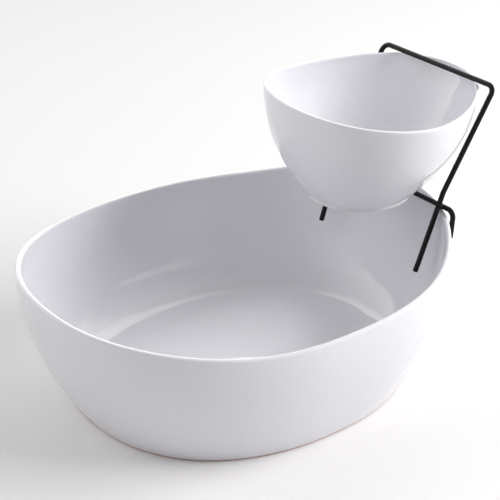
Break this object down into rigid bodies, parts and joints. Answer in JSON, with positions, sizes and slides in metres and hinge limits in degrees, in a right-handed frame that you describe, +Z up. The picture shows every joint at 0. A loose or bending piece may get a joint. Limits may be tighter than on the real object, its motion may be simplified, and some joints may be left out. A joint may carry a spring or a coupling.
{
  "type": "chip and dip server",
  "caption": "Oval white ceramic chip bowl with an upswept rim; a black wire rack hooks over its end and holds a round dip bowl above it.",
  "frame": {"origin": "middle of the chip bowl's foot ring, on the table", "axes": "+X along the chip bowl toward the rack, +Y across it, +Z up"},
  "size_m": [0.3891, 0.2876, 0.2124],
  "materials": {
    "white_glaze": "glossy white glaze, with bare clay on the foot rings",
    "black_coat": "satin black coating on steel wire"
  },
  "bodies": {
    "chip": {"chip_bowl": "white_glaze"},
    "rack": {"back_frame": "black_coat", "hook_bar": "black_coat", "frame_welds": "black_coat"},
    "dip": {"dip_bowl": "white_glaze"}
  },
  "joints": [
    {"name": "rack_lift", "type": "slide", "parent": "chip", "child": "rack", "axis": [0, 0, 1], "range_m": [0, 0.1]},
    {"name": "dip_draw", "type": "slide", "parent": "rack", "child": "dip", "axis": [-1, 0, 0], "range_m": [0, 0.1]}
  ]
}
